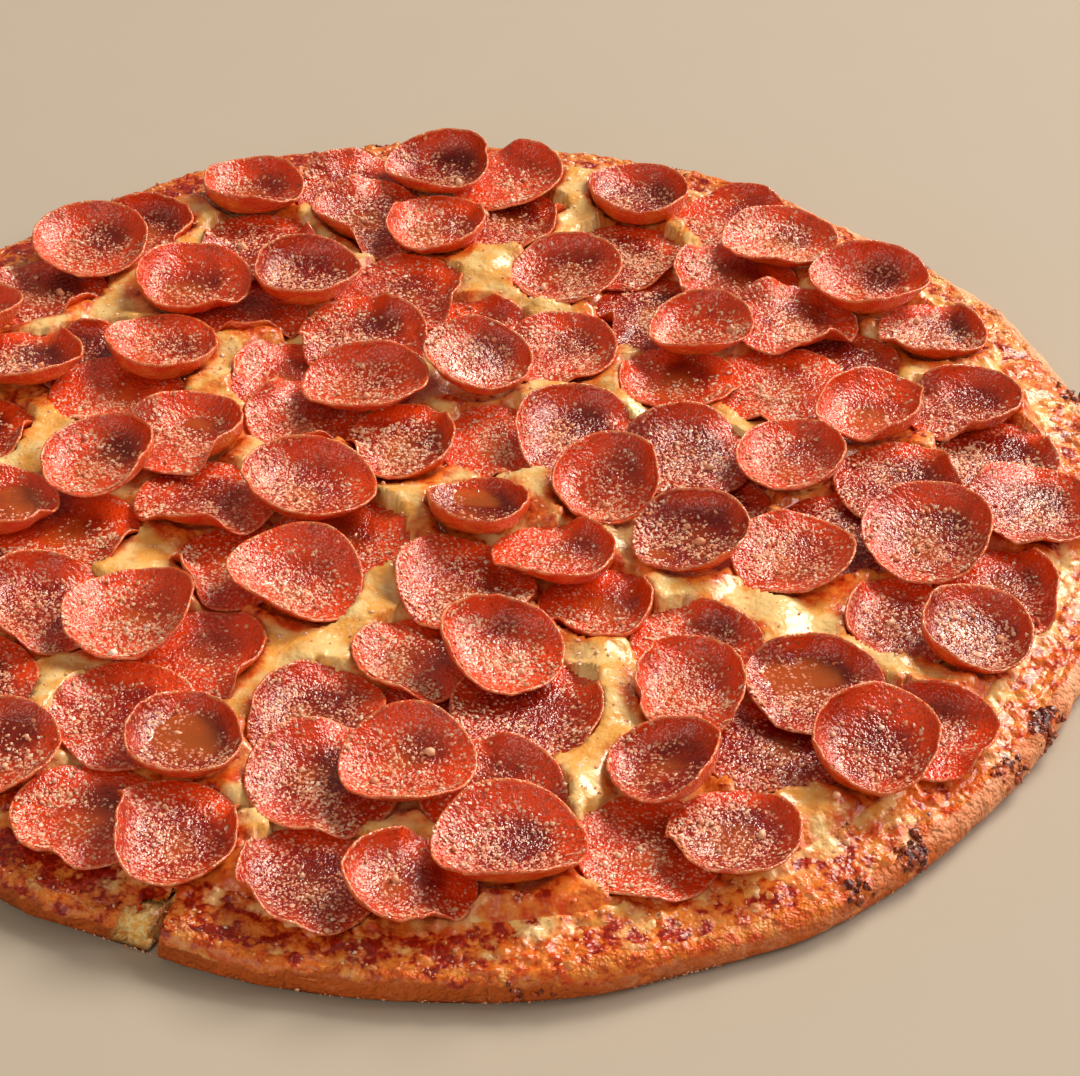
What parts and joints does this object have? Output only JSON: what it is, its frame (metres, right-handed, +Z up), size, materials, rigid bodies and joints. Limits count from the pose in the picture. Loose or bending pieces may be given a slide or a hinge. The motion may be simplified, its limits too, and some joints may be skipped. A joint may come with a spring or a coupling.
{
  "type": "pepperoni pizza",
  "caption": "Round thin-crust pizza, whole, covered edge to edge with cupped pepperoni slices over melted cheese and sauce.",
  "frame": {"origin": "middle of the flat underside of the crust", "axes": "+Z up, through the thickness; -Y is the side shown nearest in the picture; +X to its right"},
  "size_m": [0.3554, 0.3556, 0.0257],
  "materials": {
    "crust": "baked dough, golden brown with darker blisters",
    "sauce": "baked tomato sauce",
    "cheese": "melted cheese with orange oil",
    "pepperoni": "baked cured sausage, oily, dusted with grated cheese"
  },
  "bodies": {
    "root": {"crust": "crust", "sauce": "sauce", "cheese": "cheese", "pepperoni_01": "pepperoni", "pepperoni_02": "pepperoni", "pepperoni_03": "pepperoni", "pepperoni_04": "pepperoni", "pepperoni_05": "pepperoni", "pepperoni_06": "pepperoni", "pepperoni_07": "pepperoni", "pepperoni_08": "pepperoni", "pepperoni_09": "pepperoni", "pepperoni_10": "pepperoni", "pepperoni_11": "pepperoni", "pepperoni_12": "pepperoni", "pepperoni_13": "pepperoni", "pepperoni_14": "pepperoni", "pepperoni_15": "pepperoni", "pepperoni_16": "pepperoni", "pepperoni_17": "pepperoni", "pepperoni_18": "pepperoni", "pepperoni_19": "pepperoni", "pepperoni_20": "pepperoni", "pepperoni_21": "pepperoni", "pepperoni_22": "pepperoni", "pepperoni_23": "pepperoni", "pepperoni_24": "pepperoni", "pepperoni_25": "pepperoni", "pepperoni_26": "pepperoni", "pepperoni_27": "pepperoni", "pepperoni_28": "pepperoni", "pepperoni_29": "pepperoni", "pepperoni_30": "pepperoni", "pepperoni_31": "pepperoni", "pepperoni_32": "pepperoni", "pepperoni_33": "pepperoni", "pepperoni_34": "pepperoni", "pepperoni_35": "pepperoni", "pepperoni_36": "pepperoni", "pepperoni_37": "pepperoni", "pepperoni_38": "pepperoni", "pepperoni_39": "pepperoni", "pepperoni_40": "pepperoni", "pepperoni_41": "pepperoni", "pepperoni_42": "pepperoni", "pepperoni_43": "pepperoni", "pepperoni_44": "pepperoni", "pepperoni_45": "pepperoni", "pepperoni_46": "pepperoni", "pepperoni_47": "pepperoni", "pepperoni_48": "pepperoni", "pepperoni_49": "pepperoni", "pepperoni_50": "pepperoni", "pepperoni_51": "pepperoni", "pepperoni_52": "pepperoni", "pepperoni_53": "pepperoni", "pepperoni_54": "pepperoni"}
  },
  "joints": []
}
